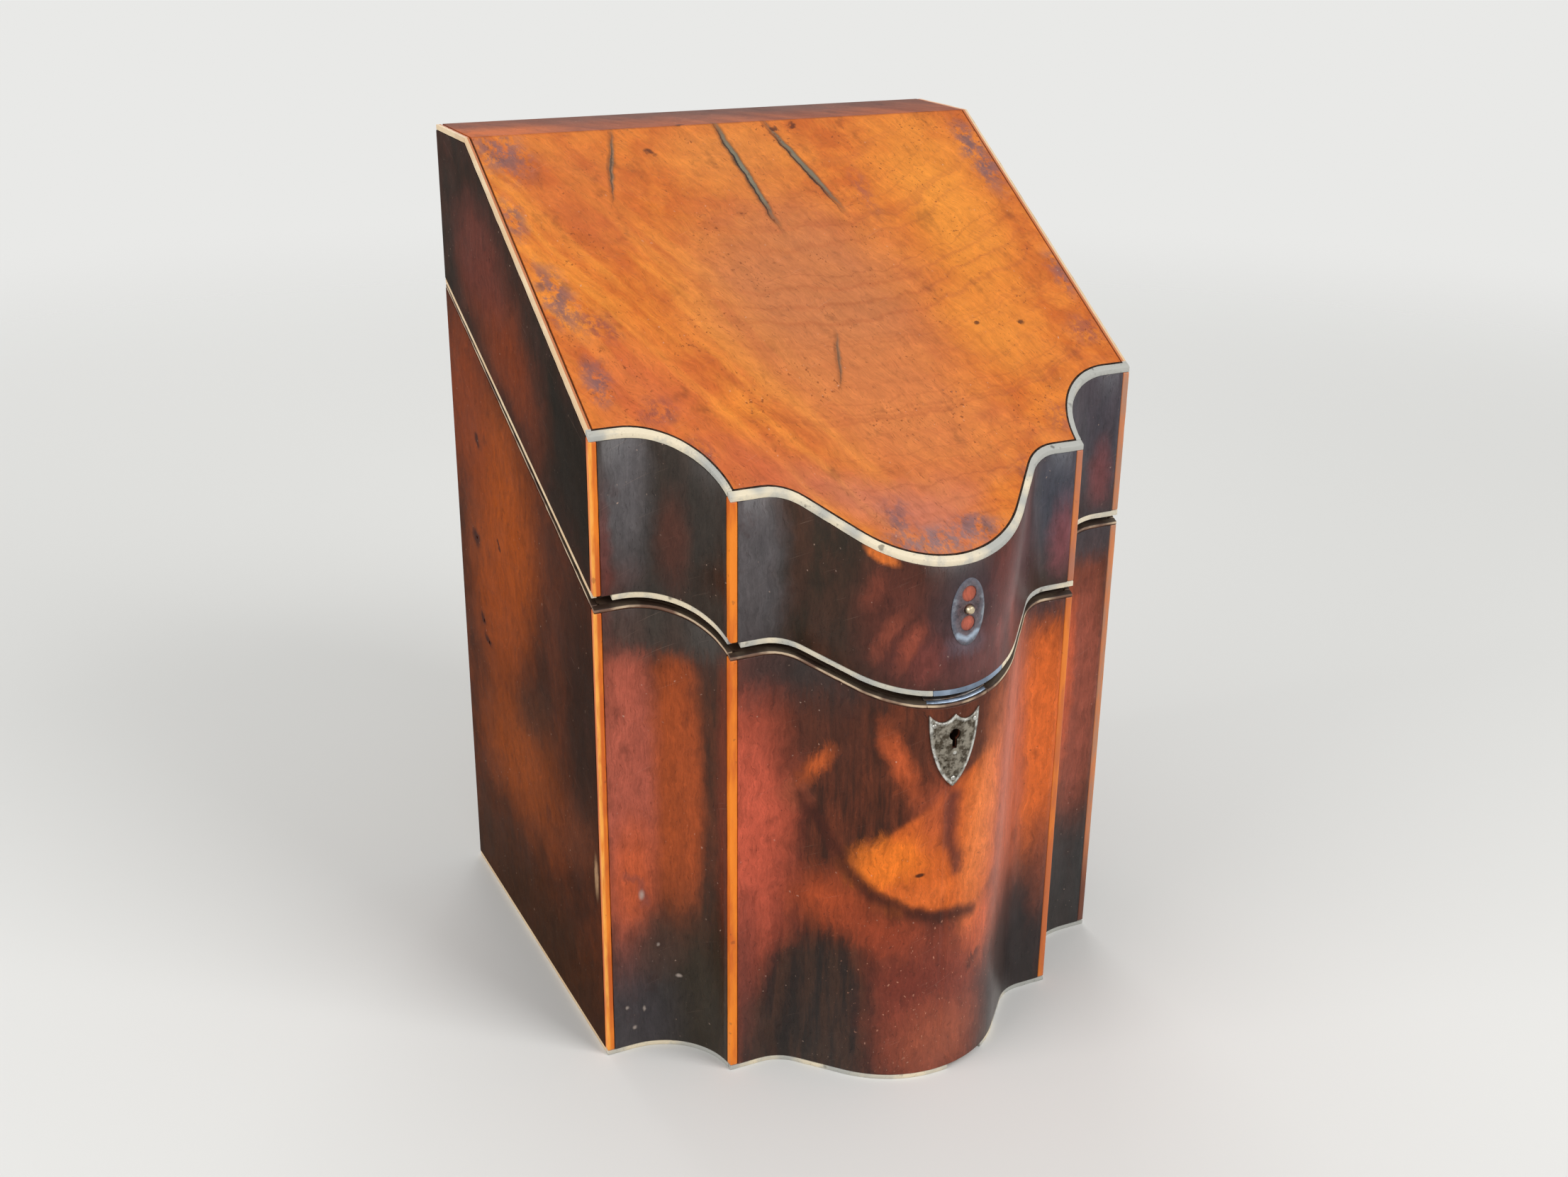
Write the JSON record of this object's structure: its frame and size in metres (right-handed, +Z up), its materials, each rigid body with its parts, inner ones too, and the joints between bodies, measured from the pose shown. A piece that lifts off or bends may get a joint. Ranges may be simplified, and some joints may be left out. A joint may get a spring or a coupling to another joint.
{
  "type": "knife box",
  "caption": "Upright veneered wooden box with a serpentine front and a sloping hinged lid, fitted inside with a pierced board that holds table cutlery upright.",
  "frame": {"origin": "middle of the footprint's bounding box, on the surface that the box stands on", "axes": "+Z up, +X to the right seen from the front, -Y out of the serpentine front"},
  "size_m": [0.225, 0.2405, 0.338],
  "materials": {
    "front_veneer": "flame mahogany veneer, deep red-brown under an old gloss finish",
    "side_veneer": "plain mahogany veneer, dark red-brown, worn gloss",
    "lid_veneer": "sun-faded flame mahogany veneer, golden orange, gloss",
    "flat_veneer": "mahogany veneer, greyed red-brown, cracked",
    "carcase": "softwood boards, planed and unpolished",
    "rack": "mahogany board, waxed",
    "pale_string": "boxwood stringing, cream, dirt in the pores",
    "warm_string": "boxwood stringing, stained orange by old finish",
    "brass": "cast brass, dulled",
    "old_silver": "thin silver plate, tarnished grey with bright worn spots",
    "iron": "wrought iron, dark, lightly rusted"
  },
  "bodies": {
    "case": {"front_core": "carcase", "left_side": "carcase", "right_side": "carcase", "back_board": "carcase", "bottom_board": "carcase", "left_side_veneer": "side_veneer", "right_side_veneer": "side_veneer", "left_cove_veneer": "front_veneer", "right_cove_veneer": "front_veneer", "front_veneer": "front_veneer", "base_string": "pale_string", "rim_string": "pale_string", "left_corner_string": "warm_string", "right_corner_string": "warm_string", "left_fin_string": "warm_string", "right_fin_string": "warm_string", "cutlery_board": "rack", "left_ledger": "carcase", "right_ledger": "carcase", "lock_plate": "iron", "lock_case": "iron", "drill_pin": "iron", "escutcheon": "old_silver", "escutcheon_pin_1": "old_silver", "escutcheon_pin_2": "old_silver", "escutcheon_pin_3": "old_silver", "left_hinge_fixed_leaf": "brass", "left_hinge_pin": "iron", "right_hinge_fixed_leaf": "brass", "right_hinge_pin": "iron"},
    "lid": {"left_hinge_moving_leaf": "brass", "right_hinge_moving_leaf": "brass", "lid_front_core": "carcase", "lid_left_side": "carcase", "lid_right_side": "carcase", "lid_back_rail": "carcase", "lid_slope_board": "carcase", "lid_top_board": "carcase", "lid_left_veneer": "side_veneer", "lid_right_veneer": "side_veneer", "lid_left_cove_veneer": "front_veneer", "lid_right_cove_veneer": "front_veneer", "lid_front_veneer": "front_veneer", "lid_slope_veneer": "lid_veneer", "lid_flat_veneer": "flat_veneer", "lid_top_string": "pale_string", "lid_rim_string": "pale_string", "lid_left_corner_string": "warm_string", "lid_left_fin_string": "warm_string", "lid_right_corner_string": "warm_string", "lid_right_fin_string": "warm_string", "link_plate": "iron", "lid_pull_stub": "brass"},
    "bolt": {"lock_bolt": "iron"}
  },
  "joints": [
    {"name": "lid_hinge", "type": "hinge", "parent": "case", "child": "lid", "pos_m": [0, 0.11775, 0.27377], "axis": [-1, 0, 0], "range_deg": [0, 105]},
    {"name": "bolt_slide", "type": "slide", "parent": "case", "child": "bolt", "axis": [1, 0, 0], "range_m": [0, 0.0045]}
  ]
}
